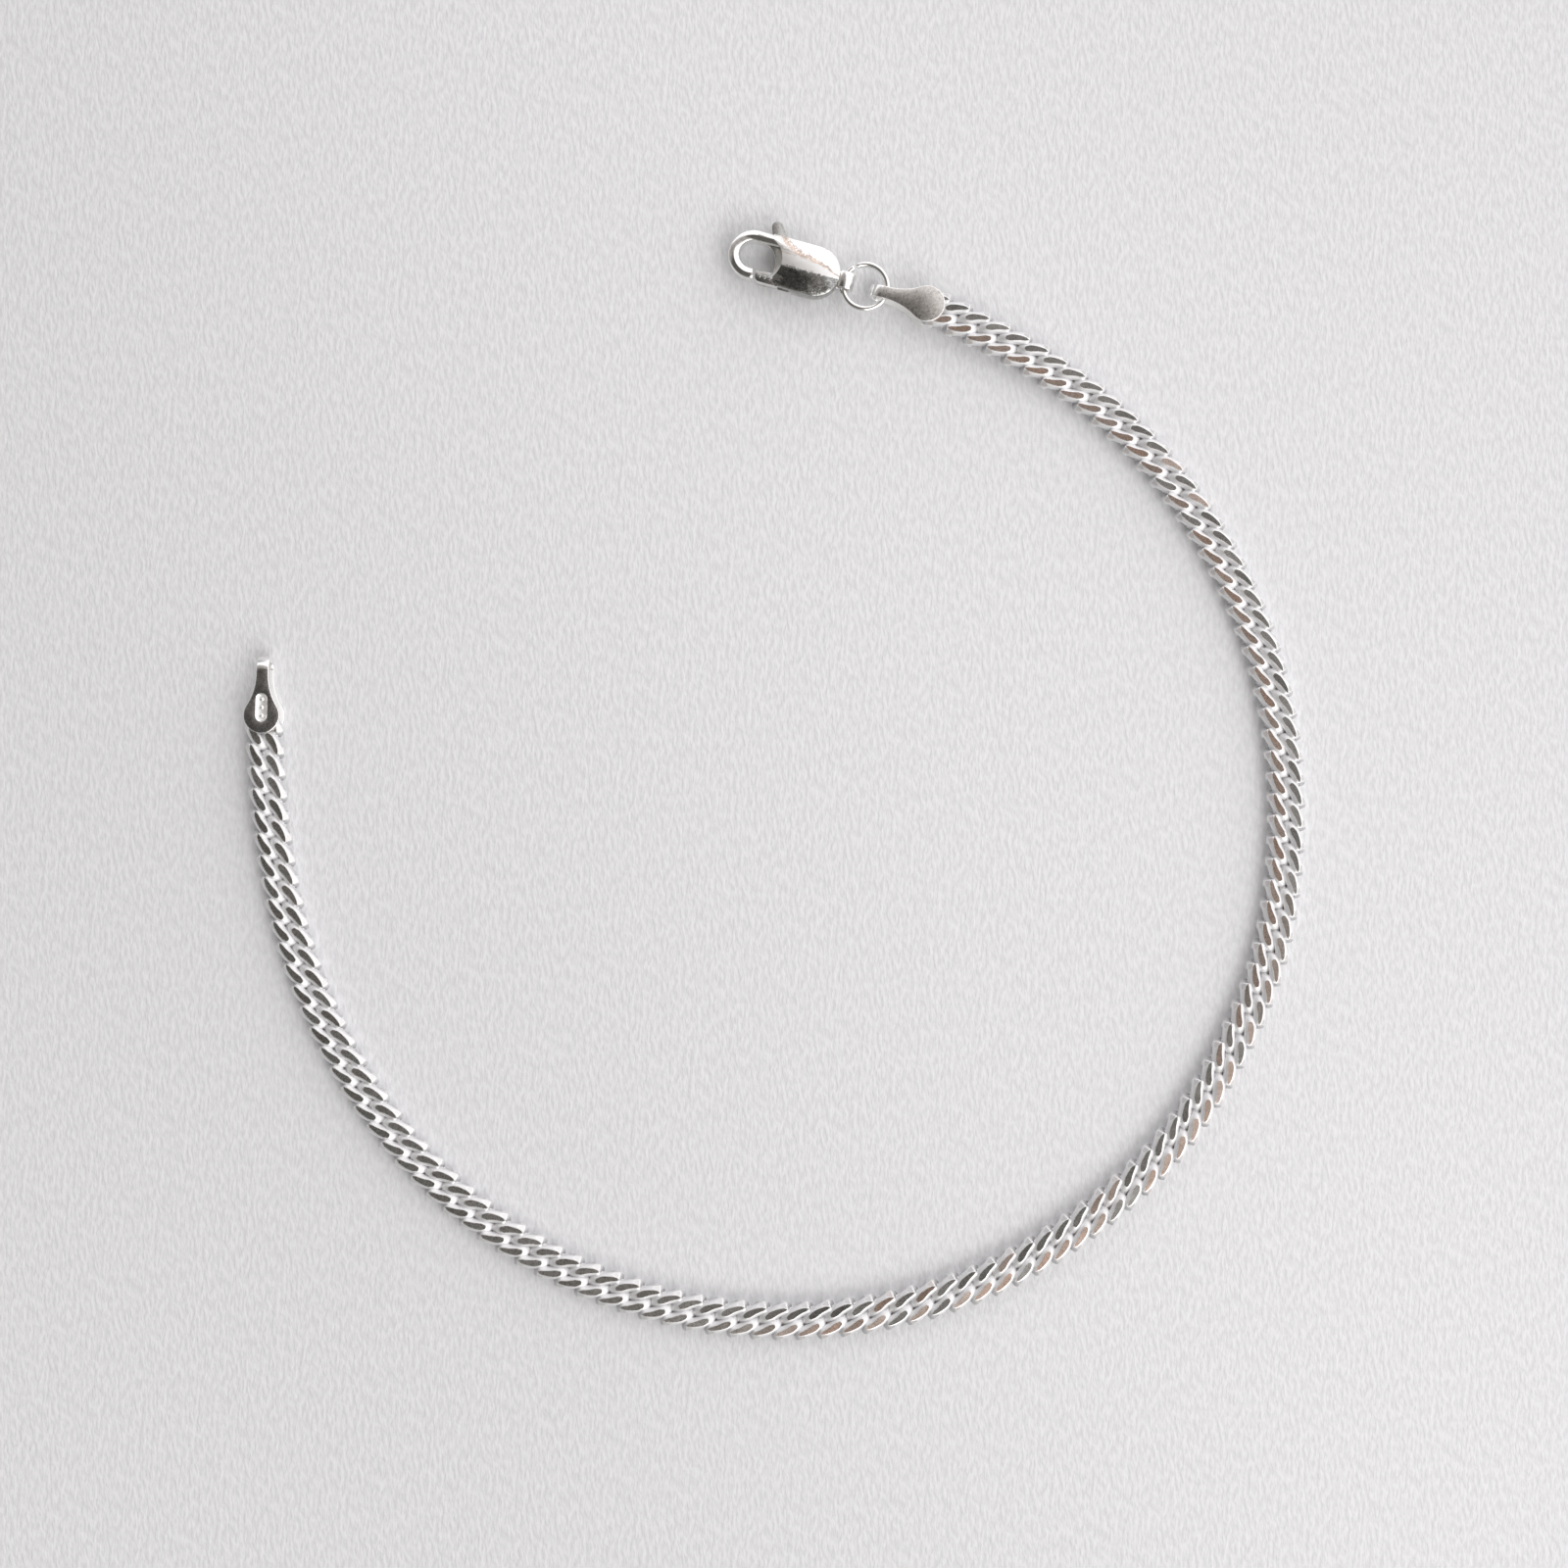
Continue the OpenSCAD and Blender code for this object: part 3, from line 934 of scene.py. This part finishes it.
@dataclass
class FoldedTag:
    """A strip folded over the end link, with round leaves and a post through the link."""

    node: str
    post: Vector
    aim: float
    face: TagFace
    tag_len: float = 5.92
    tag_w: float = 2.74
    neck_w: float = 0.92
    leaf_t: float = 0.28
    eye_r: float = 0.74
    neck_in: float = 0.2
    post_in: float = 0.91
    post_r: float = 0.25
    post_steps: int = 20
    recess_len: float = 2.2
    recess_w: float = 0.92
    recess_back: float = 1.06
    recess_wall: tuple[Span, ...] = ((0.0, 0.0), (0.03, 0.015), (0.07, 0.06), (0.11, 0.1))
    recess_steps: int = 8
    pip_r: float = 0.17
    pip_step: float = 0.62
    pip_squat: float = 0.6
    pip_frost: float = 0.5
    pip_steps: tuple[int, int] = (16, 10)
    facing_up: float = 0.99
    soften: float = 0.05
    sharp_over: float = 50.0
    # Picks the tag's painted reflection tone: 0 the finish's first, darker tone, 1 its second,
    # lighter tone.
    shade: float = 0.0
    round_from: float = 122.0
    neck_pull: float = 1.1
    round_pull: float = 0.75
    side_steps: int = 10
    arc_steps: int = 30
    fold_steps: int = 14

    @property
    def fold_r(self) -> float:
        """Outside radius of the fold."""
        return self.eye_r + self.leaf_t

    @property
    def height(self) -> float:
        """Height over both leaves."""
        return 2 * self.fold_r

    @property
    def recess_x(self) -> float:
        """Distance of the recess from the fold's tip."""
        return self.tag_len - self.post_in - self.recess_back

    def outline(self) -> list[Span]:
        """Gives the plan of a leaf from the fold round its end and back.

        Returns:
            Points in order, the first and last on the line where the fold begins.
        """
        half, radius = self.neck_w / 2, self.tag_w / 2
        round_x, neck_x = self.tag_len - radius, self.fold_r + self.neck_in
        first = math.radians(self.round_from)
        arc = [first * (1 - 2 * i / self.arc_steps) for i in range(self.arc_steps + 1)]
        end = [(round_x + radius * math.cos(a), radius * math.sin(a)) for a in arc]
        join = Vector((*end[0], 0))
        pull = self.round_pull * Vector((math.sin(first), -math.cos(first), 0))
        side = interpolate_bezier(Vector((neck_x, half, 0)),
                                  Vector((neck_x + self.neck_pull, half, 0)),
                                  join - pull, join, self.side_steps)[:-1]
        return [(self.fold_r, half), *((p.x, p.y) for p in side), *end,
                *((p.x, -p.y) for p in reversed(side)), (self.fold_r, -half)]

    def leaf(self, bm: BMesh, outer: float, inner: float) -> list[Corner]:
        """Adds one leaf.

        Args:
            bm: mesh to add to.
            outer: height of its outer face.
            inner: height of its inner face.

        Returns:
            The four corners that the fold starts from, two outside and two inside.
        """
        plan = self.outline()
        top, low = ([bm.verts.new((x, y, z)) for x, y in plan] for z in (outer, inner))
        bm.faces.new(top)
        bm.faces.new(low[::-1])
        for i in range(len(plan) - 1):
            bm.faces.new((top[i], low[i], low[i + 1], top[i + 1]))
        return [top[0], top[-1], low[-1], low[0]]

    def fold(self, bm: BMesh, start: list[Corner], end: list[Corner]) -> None:
        """Adds the fold between two sets of four corners.

        Args:
            bm: mesh to add to.
            start: corners on the upper leaf, two outside and two inside.
            end: the same corners on the lower leaf.
        """
        half = self.neck_w / 2
        corners = ((self.fold_r, half), (self.fold_r, -half), (self.eye_r, -half),
                   (self.eye_r, half))
        rings = [start]
        for i in range(1, self.fold_steps):
            a = math.pi / 2 + math.pi * i / self.fold_steps
            rings.append([bm.verts.new((self.fold_r + r * math.cos(a), y,
                                        self.fold_r + r * math.sin(a))) for r, y in corners])
        skin(bm, [*rings, end])

    def strip(self) -> BMesh:
        """Builds the folded strip with softened edges and marks its flat faces and rims.

        Returns:
            The strip, with its fold's tip at the origin.
        """
        bm = bmesh.new()
        top = self.leaf(bm, self.height, self.height - self.leaf_t)
        self.fold(bm, top, self.leaf(bm, 0.0, self.leaf_t))
        bmesh.ops.recalc_face_normals(bm, faces=bm.faces)
        flat, rim, frost, shade = layers(bm.faces, Mark.FLAT, Mark.RIM, Mark.FROST, Mark.SHADE)
        for face in bm.faces:
            face[shade] = self.shade
            face[flat] = 1.0 if len(face.verts) > 4 else 0.0
            inside = self.leaf_t / 2 < face.calc_center_median().z < self.height - self.leaf_t / 2
            face[frost] = 1.0 if face[flat] and inside else 0.0
        # The softened edges take a painted highlight.
        for face in soften(bm, self.sharp_over, self.soften):
            face[flat] = 0.0
            face[rim] = 1.0
        return bm

    def stadium(self, inset: float, z: float) -> list[Vector]:
        """Gives a ring of points round the oval recess.

        Args:
            inset: how far inside the recess's edge.
            z: height of the ring.

        Returns:
            The points in order.
        """
        half = (self.recess_len - self.recess_w) / 2
        radius = self.recess_w / 2 - inset
        ring = []
        for side in (1, -1):
            for i in range(self.recess_steps + 1):
                a = math.pi * (i / self.recess_steps - 0.5) + (0 if side > 0 else math.pi)
                ring.append(Vector((self.recess_x + side * half + radius * math.cos(a),
                                    radius * math.sin(a), z)))
        return ring

    def stamp(self, bm: BMesh) -> None:
        """Stamps the oval recess into the upper leaf and raises three plain pips in it.

        Args:
            bm: the strip.
        """
        flat, rim, frost, shade = layers(bm.faces, Mark.FLAT, Mark.RIM, Mark.FROST, Mark.SHADE)
        level = (f for f in bm.faces if f.normal.z > self.facing_up)
        top = max(level, key=lambda f: f.calc_area())
        border = list(top.edges)
        bmesh.ops.delete(bm, geom=[top], context="FACES_ONLY")
        rings = [[bm.verts.new(p) for p in self.stadium(inset, self.height - deep)]
                 for inset, deep in self.recess_wall]
        # The recess wall takes a painted highlight.
        for wall in skin(bm, rings):
            wall[rim] = 1.0
        bm.faces.new(rings[-1])[frost] = 1.0
        mouth = [bm.edges.get((rings[0][i - 1], rings[0][i])) for i in range(len(rings[0]))]
        filled = bmesh.ops.triangle_fill(bm, use_beauty=True, use_dissolve=False,
                                         edges=border + mouth)
        for face in filled["geom"]:
            if isinstance(face, Face):
                face[flat] = 1.0
                face[shade] = self.shade
        for n in (-1, 0, 1):
            place = Matrix.Translation((self.recess_x + n * self.pip_step, 0, rings[-1][0].co.z))
            squat = Matrix.Diagonal((1.0, 1.0, self.pip_squat, 1.0))
            made = bmesh.ops.create_uvsphere(bm, u_segments=self.pip_steps[0],
                                             v_segments=self.pip_steps[1], radius=self.pip_r,
                                             matrix=place @ squat)
            for face in {f for v in made["verts"] for f in v.link_faces}:
                face[frost] = self.pip_frost

    def build(self, material: Material) -> None:
        """Builds, dresses and fastens the tag.

        Args:
            material: finish of the strip.
        """
        bm = self.strip()
        if self.face is TagFace.STAMPED:
            self.stamp(bm)
        centre = Matrix.Translation((self.tag_len - self.post_in, 0, self.height / 2))
        bmesh.ops.create_cone(bm, cap_ends=True, segments=self.post_steps, radius1=self.post_r,
                              radius2=self.post_r, depth=self.height - self.leaf_t, matrix=centre)
        back = Matrix.Translation((self.post_in - self.tag_len, 0, 0))
        place = Matrix.Translation(self.post) @ turn(self.aim + 180) @ back
        settle(finished(bm, "folded_" + self.node, place), material, "bracelet",
               self.node)


@dataclass
class SplitRing:
    """The round-wire ring between the clasp and its tag, with its seam a little open."""

    centre: Vector
    ring_od: float = 3.9
    ring_wire: float = 0.5
    ring_seam: float = 7.0
    seam_aim: float = 116.0
    path_steps: int = 84
    wire_steps: int = 18
    end_soften: float = 0.06
    ease_at: float = 0.3
    ease_in: float = 0.02

    @property
    def path_r(self) -> float:
        """Radius of the middle of the wire."""
        return (self.ring_od - self.ring_wire) / 2

    def build(self, material: Material) -> None:
        """Builds, dresses and fastens the ring.

        Args:
            material: finish of the wire.
        """
        bm = bmesh.new()
        wire_r, end = self.ring_wire / 2, math.degrees(self.end_soften / self.path_r)
        first, last = self.ring_seam / 2, 360 - self.ring_seam / 2
        inner = [first + end + (last - first - 2 * end) * i / self.path_steps
                 for i in range(self.path_steps + 1)]
        at, tip, eased = end * self.ease_at, wire_r - self.end_soften, wire_r - self.ease_in
        rings = []
        for angle, r in ((first, tip), (first + at, eased), *((a, wire_r) for a in inner),
                         (last - at, eased), (last, tip)):
            out = toward(self.seam_aim + angle)
            around = (math.tau * j / self.wire_steps for j in range(self.wire_steps))
            rings.append([bm.verts.new(out * (self.path_r + r * math.cos(w))
                                       + Vector((0, 0, r * math.sin(w)))) for w in around])
        skin(bm, rings)
        bm.faces.new(rings[0])
        bm.faces.new(rings[-1][::-1])
        piece = finished(bm, "split_jump_ring", Matrix.Translation(self.centre))
        settle(piece, material, "bracelet", "jump_ring")


@dataclass
class LobsterClasp:
    """The cast body with its hook and bail, and the lever that turns in it."""

    hook_at: tuple[float, float, float] = (-1.745, 40.308, 1.2)
    aim: float = -15.5
    soften: float = 0.05
    sharp_over: float = 28.0
    smooth_under: float = 40.0
    weld: float = 0.001
    flat_under: float = 1.0
    nose_from: float = 3.6
    nose_end: float = 6.83
    nose_drop: float = 0.42
    nose_cuts: int = 9
    bail_x: float = 7.24
    bail_r: float = 0.81
    cast_mark: float = 0.25
    level_span: Span = (0.93, 0.995)
    # Where the painted dark reflection side and the painted warm reflection line lie across the
    # body.
    body_span: Span = (2.1, 6.9)
    middle_frost: float = 0.6
    frost_under: float = 0.9
    dark_reflection_under: float = -0.3
    line_at: float = 0.82
    least_gap: float = 0.2
    bands_meet: float = 7.0
    bands_meet_at: float = -0.12
    off_body: float = 0.5
    crescent_half: float = 1.0

    @property
    def place(self) -> Matrix:
        """Where the clasp lies, from the middle of its hook."""
        return Matrix.Translation(Vector(self.hook_at)) @ turn(self.aim)

    def copied(self, node: str) -> BMesh:
        """Copies a CAD node in millimetres, in the clasp's own frame.

        Args:
            node: the CAD node to copy.

        Returns:
            Mesh code with whole flat faces instead of loose triangles.
        """
        bm = bmesh.new()
        bm.from_mesh(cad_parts[node].data)
        bm.transform(self.place.inverted() @ Matrix.Scale(1 / METRE, 4))
        bmesh.ops.remove_doubles(bm, verts=bm.verts, dist=self.weld)
        bmesh.ops.dissolve_limit(bm, angle_limit=math.radians(self.flat_under), verts=bm.verts,
                                 edges=bm.edges)
        return bm

    def shape_nose(self, bm: BMesh) -> None:
        """Lets the body's dome fall away towards the bail.

        Args:
            bm: the body.
        """
        run = self.nose_end - self.nose_from
        for i in range(self.nose_cuts):
            x = self.nose_from + run * i / self.nose_cuts
            bmesh.ops.bisect_plane(bm, geom=parts_of(bm), dist=self.weld, plane_co=(x, 0, 0),
                                   plane_no=(1, 0, 0))
        for vert in bm.verts:
            share = part_way(vert.co.x, self.nose_from, self.nose_end)
            if math.hypot(vert.co.x - self.bail_x, vert.co.z) > self.bail_r:
                vert.co.z *= 1 - self.nose_drop * share * share

    def band(self, at: Vector) -> float | None:
        """Says where a point of the body lies between its painted dark side and painted warm line.

        Args:
            at: the point, in the clasp's frame.

        Returns:
            Under 0 on the painted dark side, 1 on the painted warm line, and None off the body's
            upper side.
        """
        if not self.body_span[0] < at.x < self.body_span[1] or at.z < 0:
            return None
        along = part_way(at.x, self.nose_from, self.bands_meet)
        meet = self.bands_meet_at * along * along
        dark_side = self.dark_reflection_under * (1 - along * along) + meet
        line = self.line_at * (1 - along * along) + meet
        return (at.y - dark_side) / max(line - dark_side, self.least_gap)

    def eased(self, bm: BMesh, name: str, mark: float | None) -> Object:
        """Softens the edges and marks the grained parts.

        Args:
            bm: the piece, in the clasp's frame.
            name: name of the finished piece.
            mark: flat mark of the whole piece, or None to mark its level faces alone.

        Returns:
            The finished piece.
        """
        soften(bm, self.sharp_over, self.soften)
        flat, shade, band, frost = layers(bm.verts, Mark.FLAT, Mark.SHADE, Mark.BAND, Mark.FROST)
        bm.normal_update()
        for vert in bm.verts:
            # Level faces, or the whole piece at a set mark, take the flats' painted reflection
            # tone.
            level = part_way(abs(vert.normal.z), *self.level_span)
            vert[flat] = level if mark is None else mark
            # Faces near the middle line take the second painted reflection tone. On the lever this
            # is its lighter crescent.
            vert[shade] = 1.0 if abs(vert.co.y) < self.crescent_half else 0.0
            # Where the painted dark side and painted warm line fall.
            at = self.band(vert.co)
            # Off the body the value lies between both bands, so that neither shows.
            vert[band] = self.off_body if at is None else at
            middle = at is not None and 0 < at < self.frost_under
            vert[frost] = self.middle_frost if middle else 0.0
        made = finished(bm, name, self.place)
        made.data.set_sharp_from_angle(angle=math.radians(self.smooth_under))
        return made

    def build(self, body_finish: Material, lever_finish: Material) -> None:
        """Builds, dresses and fastens the body and the lever.

        Args:
            body_finish: finish of the cast body.
            lever_finish: finish of the stamped lever.
        """
        bm = self.copied("clasp_body")
        self.shape_nose(bm)
        body = self.eased(bm, "cast_clasp_body", self.cast_mark)
        settle(body, body_finish, "bracelet", "clasp_body")
        lever = self.eased(self.copied("clasp_lever"), "stamped_lever", None)
        settle(lever, lever_finish, "lever", "clasp_lever")


@dataclass(frozen=True)
class PaperFinish:
    """Pale cold-pressed paper, with a painted light falloff across it."""

    name: str = "pale_paper"
    tone: Colour = (0.855, 0.857, 0.87)
    low_tone: Colour = (0.775, 0.777, 0.79)
    tone_span: Span = (0.35, 0.65)
    rough: float = 0.9
    specular: float = 0.2
    fibre_size: float = 0.3
    fibre_detail: float = 4.0
    fibre_turn: float = 0.25
    fibre_stretch: tuple[float, float, float] = (1.0, 0.38, 1.0)
    tooth_size: float = 2.2
    tooth_detail: float = 2.0
    fibre_depth: float = 0.09
    tooth_depth: float = 0.045
    # Painted light falloff across the paper: where it runs, its levels and its slant.
    painted_falloff: Span = (-60.0, 40.0)
    painted_falloff_level: Span = (0.935, 1.04)
    painted_falloff_slant: float = 0.5

    def material(self) -> Material:
        """Builds the material.

        Returns:
            The finished material.
        """
        made, shader = new_material(self.name)
        graph = Graph(made.node_tree)
        place = graph.place()
        slanted = graph.add("ShaderNodeMapping", {"Vector": place, "Scale": self.fibre_stretch,
                                                  "Rotation": (0, 0, self.fibre_turn)})
        fibre = graph.noise(slanted.outputs[0], 1 / (self.fibre_size * METRE), self.fibre_detail)
        tooth = graph.noise(place, 1 / (self.tooth_size * METRE), self.tooth_detail)
        tone = graph.mix_colour(graph.ramp(fibre, self.tone_span), rgba(self.low_tone),
                                rgba(self.tone))
        # Paints the light's falloff: darker towards -X and -Y, brighter towards +X and +Y.
        part = graph.add("ShaderNodeSeparateXYZ", {0: place}).outputs
        along = graph.plus(part["X"], graph.times(part["Y"], self.painted_falloff_slant))
        start, end = self.painted_falloff
        level = graph.ramp(along, (start * METRE, end * METRE), self.painted_falloff_level)
        broad = graph.bump(self.tooth_depth, tooth)
        graph.feed(shader, {"Roughness": self.rough, "Specular IOR Level": self.specular,
                            "Base Color": graph.shaded(tone, level),
                            "Normal": graph.bump(self.fibre_depth, fibre, Normal=broad)})
        return made


@dataclass(frozen=True)
class Wall:
    """A low side of the room: its tone, and where along an axis it begins and is full."""

    tone: Colour
    axis: str
    span: Span


@dataclass
class Studio:
    """The pale paper, the light and the camera straight above."""

    centre: Span = (0.635, -0.12)
    view_width: float = 120.0
    clip: float = 0.01
    face_height: float = 1.28
    camera_height: float = 170.0
    sensor: float = 36.0
    paper_size: float = 3000.0
    paper_steps: int = 4
    mirror_bounces: int = 8
    key_aim: float = -60.0
    key_rise: float = 46.0
    key_far: float = 600.0
    key_size: float = 460.0
    key_power: float = 1.05
    key_tone: Colour = (1.0, 0.985, 0.97)
    sky: Colour = (1.33, 1.31, 1.32)
    dark: Colour = (0.1, 0.095, 0.09)
    warm: Colour = (0.42, 0.39, 0.36)
    pale: Colour = (0.5, 0.48, 0.46)
    dim: Colour = (0.4, 0.375, 0.36)
    backdrop: Colour = (0.62, 0.61, 0.615)
    card: Span = (-0.3, -0.2)
    card_half: Span = (0.36, 0.4)
    fringe_span: Span = (0.98, 1.2)
    dim_span: Span = (1.45, 1.6)
    sky_span: Span = (1.85, 2.05)
    low_sky: Span = (0.5, 0.3)
    patch_scale: float = 14.0
    warm_patch: Span = (0.4, 0.5)
    pale_patch: Span = (0.54, 0.6)
    low_walls: Span = (0.55, 0.3)
    walls: tuple[Wall, ...] = (Wall((0.42, 0.42, 0.43), "X", (0.25, -0.35)),
                               Wall((1.6, 1.58, 1.58), "X", (0.0, 0.5)),
                               Wall((0.3, 0.32, 0.3), "Y", (-0.55, -0.85)))

    def camera(self) -> None:
        """Makes the camera above the middle of the photograph's frame."""
        data = bpy.data.cameras.new("overhead")
        data.sensor_width = self.sensor
        data.lens = self.sensor * self.camera_height / self.view_width
        data.clip_start = self.clip
        made = linked("overhead", data)
        made.location = Vector((*self.centre, self.face_height + self.camera_height)) * METRE
        bpy.context.scene.camera = made

    def paper(self) -> None:
        """Lays the paper that the bracelet rests on."""
        bm = bmesh.new()
        bmesh.ops.create_grid(bm, x_segments=self.paper_steps, y_segments=self.paper_steps,
                              size=self.paper_size / 2)
        made = finished(bm, "paper")
        made.data.materials.append(PaperFinish().material())

    def key(self) -> None:
        """Hangs the soft light at the lower right."""
        rise = math.radians(self.key_rise)
        aim = toward(self.key_aim) * math.cos(rise) + Vector((0, 0, math.sin(rise)))
        data = bpy.data.lights.new("soft_key", "AREA")
        data.shape = "DISK"
        data.size = self.key_size * METRE
        data.energy = self.key_power
        data.color = self.key_tone
        made = linked("soft_key", data)
        made.location = aim * self.key_far * METRE
        made.rotation_euler = aim.to_track_quat("Z", "Y").to_euler()

    def overhead(self, graph: Graph, way: Socket, away: Socket) -> Socket:
        """Builds the darker place overhead, with warm and pale patches in its fringe.

        Args:
            graph: the world's graph.
            way: the direction looked in.
            away: distance from the middle of the dark place, where 1 is its edge.

        Returns:
            The colour.
        """
        patches = graph.noise(way, self.patch_scale, 1.0)
        fringe = graph.ramp(away, self.fringe_span)
        card = rgba(self.dark)
        for tone, span in ((self.warm, self.warm_patch), (self.pale, self.pale_patch)):
            here = graph.times(fringe, graph.ramp(patches, span))
            card = graph.mix_colour(here, card, rgba(tone))
        return graph.mix_colour(graph.ramp(away, self.dim_span), card, rgba(self.dim))

    def surroundings(self) -> None:
        """Builds the pale room that the metal mirrors, and a plain backdrop for the camera."""
        world = bpy.data.worlds.new("pale_room")
        bpy.context.scene.world = world
        world.use_nodes = True
        graph = Graph(world.node_tree)
        way = graph.add("ShaderNodeTexCoord").outputs["Generated"]
        part = graph.add("ShaderNodeSeparateXYZ", {0: way}).outputs
        aside = [graph.math("DIVIDE", graph.minus(part[axis], middle), half)
                 for axis, middle, half in zip("XY", self.card, self.card_half)]
        away = graph.math("SQRT", graph.plus(graph.math("POWER", aside[0], 2.0),
                                             graph.math("POWER", aside[1], 2.0)))
        low = graph.ramp(part["Z"], self.low_walls)
        room = rgba(self.sky)
        for wall in self.walls:
            here = graph.times(low, graph.ramp(part[wall.axis], wall.span))
            room = graph.mix_colour(here, room, rgba(wall.tone))
        open_sky = graph.math("MAXIMUM", graph.ramp(away, self.sky_span),
                              graph.ramp(part["Z"], self.low_sky))
        tone = graph.mix_colour(open_sky, self.overhead(graph, way, away), room)
        seen = graph.add("ShaderNodeLightPath").outputs["Is Camera Ray"]
        tone = graph.mix_colour(seen, tone, rgba(self.backdrop))
        graph.feed(world.node_tree.nodes["Background"], {"Color": tone})

    def build(self) -> None:
        """Sets up everything round the bracelet."""
        self.camera()
        self.paper()
        self.key()
        self.surroundings()
        bpy.context.scene.view_settings.view_transform = "Standard"
        bpy.context.scene.cycles.glossy_bounces = self.mirror_bounces


@dataclass
class Bracelet:
    """The whole bracelet: where its pieces meet, and the order they are built in."""

    route: Route = field(default_factory=Route)
    free_aim: float = 88.5
    clasp_aim: float = 165.0
    post_back: float = 0.47
    ring_aim: float = 157.0
    eye_slack: float = 0.29
    ring_z: float = 1.17

    def tags(self) -> tuple[FoldedTag, FoldedTag]:
        """Places both tags on the chain's end links.

        Returns:
            The free tag and the clasp's tag.
        """
        end = self.route.length
        free_post = self.route.spot(0) - self.post_back * toward(self.route.heading(0))
        clasp_post = self.route.spot(end) + self.post_back * toward(self.route.heading(end))
        # The free tag takes the darker painted reflection, the clasp's tag the lighter.
        return (FoldedTag("free_end_tag", free_post, self.free_aim, TagFace.STAMPED),
                FoldedTag("clasp_end_tag", clasp_post, self.clasp_aim, TagFace.PLAIN, shade=1.0))

    def ring(self, tag: FoldedTag) -> SplitRing:
        """Threads the ring through the eye of a tag.

        Args:
            tag: the clasp's tag.

        Returns:
            The ring.
        """
        ring = SplitRing(Vector())
        eye = tag.post + (tag.tag_len - tag.post_in - tag.fold_r) * toward(tag.aim)
        ring.centre = eye + (ring.path_r - self.eye_slack) * toward(self.ring_aim)
        ring.centre.z = self.ring_z
        return ring

    def build(self) -> None:
        """Builds every piece in order, from the chain to the clasp."""
        effects = SharedEffects()
        links = SilverFinish("filed_links", bright=(0.86, 0.855, 0.86), bright_rough=0.55)
        # The tags' flat tones are painted reflections, darker for the free tag and lighter for the
        # clasp's tag.
        strip = SilverFinish("tag_strip", flat_dark_reflection=(0.36, 0.35, 0.345),
                             flat_light_reflection=(0.6, 0.575, 0.55), swap_over=2.0, grain_share=0.6,
                             grain_contrast=0.75, grain_depth=0.008)
        wire = SilverFinish("ring_wire", bright_rough=0.12)
        # The cast body's dim and warm tones are its painted dark side and warm line.
        cast = SilverFinish("cast_silver", flat_dark_reflection=(0.8, 0.79, 0.77),
                            flat_dim_reflection=(0.36, 0.36, 0.35), flat_warm_reflection=(0.6, 0.5, 0.44),
                            bright_rough=0.1, flat_rough=0.12, grain_share=0.9,
                            grain_size=0.11, grain_contrast=0.8, grain_depth=0.006, banded=True)
        # The lever's tab and gate take a dark painted reflection, its crescent a lighter one.
        lever = SilverFinish("lever_metal", flat_dark_reflection=(0.2, 0.195, 0.185),
                             flat_light_reflection=(0.6, 0.61, 0.58), swap_over=2.0, grain_share=0.6,
                             grain_depth=0.008)
        CurbChain(self.route).build(links.material(effects))
        free_tag, clasp_tag = self.tags()
        tag_material = strip.material(effects)
        free_tag.build(tag_material)
        clasp_tag.build(tag_material)
        self.ring(clasp_tag).build(wire.material(effects))
        LobsterClasp().build(cast.material(effects), lever.material(effects))


def main() -> None:
    logging.basicConfig(level=logging.INFO, format="%(name)s: %(message)s")
    Studio().build()
    Bracelet().build()


if __name__ == "__main__":
    main()
